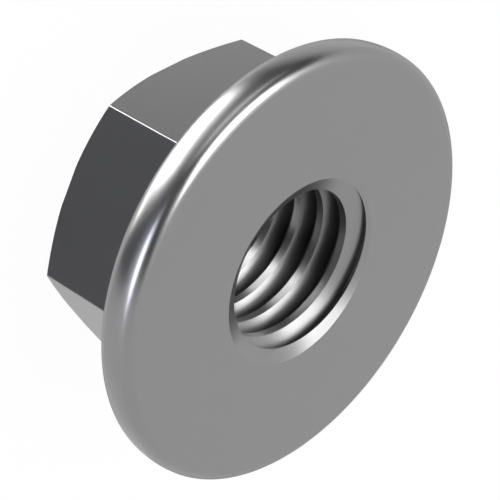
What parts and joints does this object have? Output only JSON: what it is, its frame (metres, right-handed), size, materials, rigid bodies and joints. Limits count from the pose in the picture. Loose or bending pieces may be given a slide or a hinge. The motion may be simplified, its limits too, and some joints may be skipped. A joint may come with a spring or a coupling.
{
  "type": "flange nut",
  "caption": "Plain steel hexagon nut with a wide round flange that spreads the clamping load, and a coarse metric thread countersunk at both ends.",
  "frame": {"origin": "centre of the flat end of the hexagon, on the thread axis; the nut stands on this end", "axes": "+Z along the thread axis from the hexagon's end to the flange's bearing face, +X square to one flat of the hexagon"},
  "size_m": [0.0118, 0.0118, 0.0047],
  "materials": {
    "steel": "plain bright steel, smooth with a soft gloss"
  },
  "bodies": {
    "root": {"flange_nut": "steel"}
  },
  "joints": []
}
